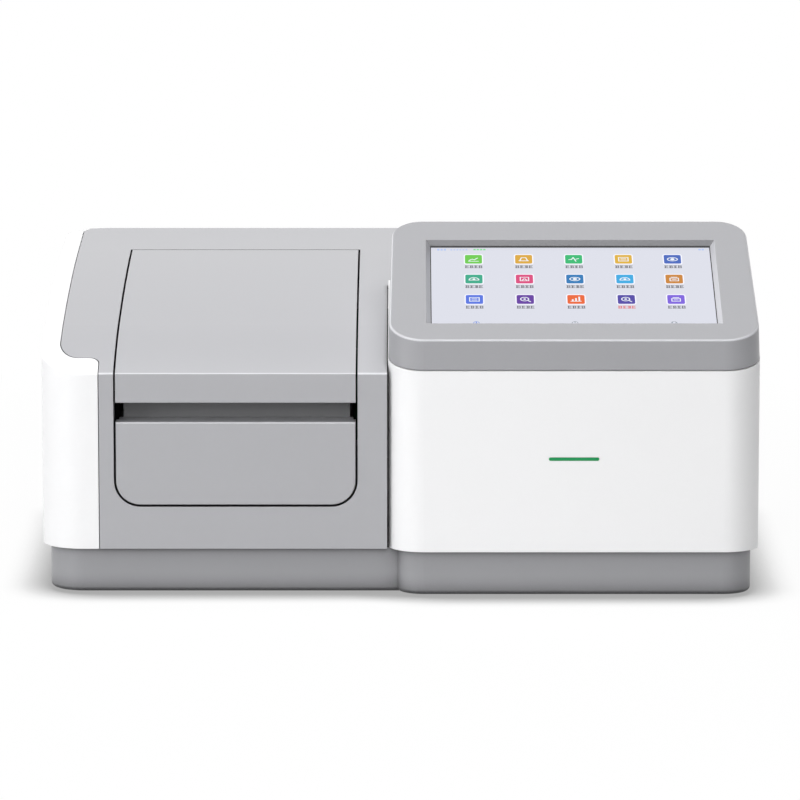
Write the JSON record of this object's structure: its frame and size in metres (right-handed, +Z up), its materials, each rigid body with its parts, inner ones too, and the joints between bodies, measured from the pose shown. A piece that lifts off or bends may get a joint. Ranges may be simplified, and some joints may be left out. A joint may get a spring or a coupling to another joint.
{
  "type": "uv-vis spectrophotometer",
  "caption": "Bench-top spectrophotometer with a sloped touch display at the right and a curved hinged lid over the sample compartment at the left.",
  "frame": {"origin": "centre of the bounding box in plan, on the bench surface under the feet", "axes": "+X to the user's right, towards the display; -Y towards the user; +Z up"},
  "size_m": [0.56, 0.4, 0.2717],
  "materials": {
    "shell_white": "fine-textured moulding, white",
    "shell_grey": "fine-textured moulding, light grey",
    "bezel_grey": "fine-textured moulding, mid grey",
    "base_grey": "moulding, dark grey",
    "cover_glass": "flat gloss glass",
    "display_frame": "black display frame",
    "status_green": "green light pipe",
    "rubber_black": "matt black",
    "screw_steel": "zinc-plated",
    "panel_metal": "powder coated, light grey",
    "well_black": "matt black moulding",
    "foam_black": "closed-cell foam",
    "steel_rod": "ground steel",
    "cast_metal": "cast and machined",
    "black_metal": "black anodised look",
    "brass_gear": "machined",
    "mirror_face": "front-silvered",
    "quartz": "polished fused silica",
    "motor_case": "dark case",
    "sheet_metal": "plated sheet",
    "board_green": "solder mask",
    "socket_metal": "plated shell",
    "cable_grey": "flat cable",
    "black_plastic": "black moulding"
  },
  "bodies": {
    "chassis": {"base_tray": "base_grey", "rubber_feet": "rubber_black", "left_side_shell": "shell_white", "compartment_fascia": "shell_grey", "right_housing": "shell_white", "display_bezel": "bezel_grey", "touch_glass": "cover_glass", "display_module": "display_frame", "display_ribbon": "cable_grey", "status_light_bar": "status_green", "rear_panel": "panel_metal", "rear_screws": "screw_steel", "bench_screws": "screw_steel", "lid_seal": "foam_black", "hinge_brackets": "screw_steel", "hinge_pins": "steel_rod", "panel_clips": "black_plastic", "compartment_tub": "well_black", "compartment_posts": "cast_metal", "beam_windows": "quartz", "window_rings": "black_metal", "guide_rods": "steel_rod", "rod_blocks": "cast_metal", "carriage_motor": "motor_case", "optical_bench": "cast_metal", "monochromator_housing": "black_metal", "monochromator_cover": "black_metal", "slit_plates": "screw_steel", "monochromator_mirrors": "mirror_face", "grating_motor": "motor_case", "filter_motor": "motor_case", "lamp_housing": "sheet_metal", "deuterium_lamp": "quartz", "tungsten_lamp": "quartz", "source_mirror_motor": "motor_case", "detector_block": "black_metal", "preamp_board": "board_green", "main_board": "board_green", "board_standoffs": "screw_steel", "power_supply": "sheet_metal", "fan_frame": "black_plastic", "fan_guard": "black_metal", "power_inlet": "black_plastic", "rocker_frame": "black_plastic", "io_ports": "socket_metal"},
    "lid": {"compartment_lid": "shell_grey", "lid_liner": "well_black", "lid_hinge_leaves": "screw_steel"},
    "front_panel": {"front_panel": "shell_grey"},
    "carriage": {"cell_carriage": "black_metal", "carriage_rack": "brass_gear"},
    "pinion": {"drive_pinion": "brass_gear"},
    "grating": {"grating_turntable": "cast_metal", "diffraction_grating": "mirror_face"},
    "filter_wheel": {"filter_wheel": "black_metal"},
    "source_mirror": {"source_mirror": "mirror_face"},
    "fan_rotor": {"fan_rotor": "black_plastic"},
    "rocker": {"power_rocker": "black_plastic"}
  },
  "joints": [
    {"name": "lid_hinge", "type": "hinge", "parent": "chassis", "child": "lid", "pos_m": [-0.1275, 0.0985, 0.221], "axis": [-1, 0, 0], "range_deg": [0, 80]},
    {"name": "front_panel_slide", "type": "slide", "parent": "chassis", "child": "front_panel", "axis": [0, -1, 0], "range_m": [0, 0.06]},
    {"name": "carriage_slide", "type": "slide", "parent": "chassis", "child": "carriage", "axis": [0, -1, 0], "range_m": [0, 0.085]},
    {"name": "pinion_spin", "type": "hinge", "parent": "chassis", "child": "pinion", "pos_m": [-0.09315, -0.03, 0.083], "axis": [0, 0, 1], "range_deg": [0, 610]},
    {"name": "grating_turn", "type": "hinge", "parent": "chassis", "child": "grating", "pos_m": [0.13, -0.035, 0.07], "axis": [0, 0, 1], "range_deg": [0, 45]},
    {"name": "filter_wheel_turn", "type": "hinge", "parent": "chassis", "child": "filter_wheel", "pos_m": [0.184, -0.074, 0.107], "axis": [1, 0, 0], "continuous": true},
    {"name": "source_mirror_turn", "type": "hinge", "parent": "chassis", "child": "source_mirror", "pos_m": [0.23, -0.09, 0.062], "axis": [0, 0, 1], "range_deg": [0, 90]},
    {"name": "fan_spin", "type": "hinge", "parent": "chassis", "child": "fan_rotor", "pos_m": [0.2, 0.178, 0.13], "axis": [0, 1, 0], "continuous": true},
    {"name": "rocker_tilt", "type": "hinge", "parent": "chassis", "child": "rocker", "pos_m": [-0.16, 0.192, 0.084], "axis": [1, 0, 0], "range_deg": [0, 16]}
  ],
  "couplings": [
    {"joint": "pinion_spin", "follows": "carriage_slide", "rad_per_m": 125}
  ]
}
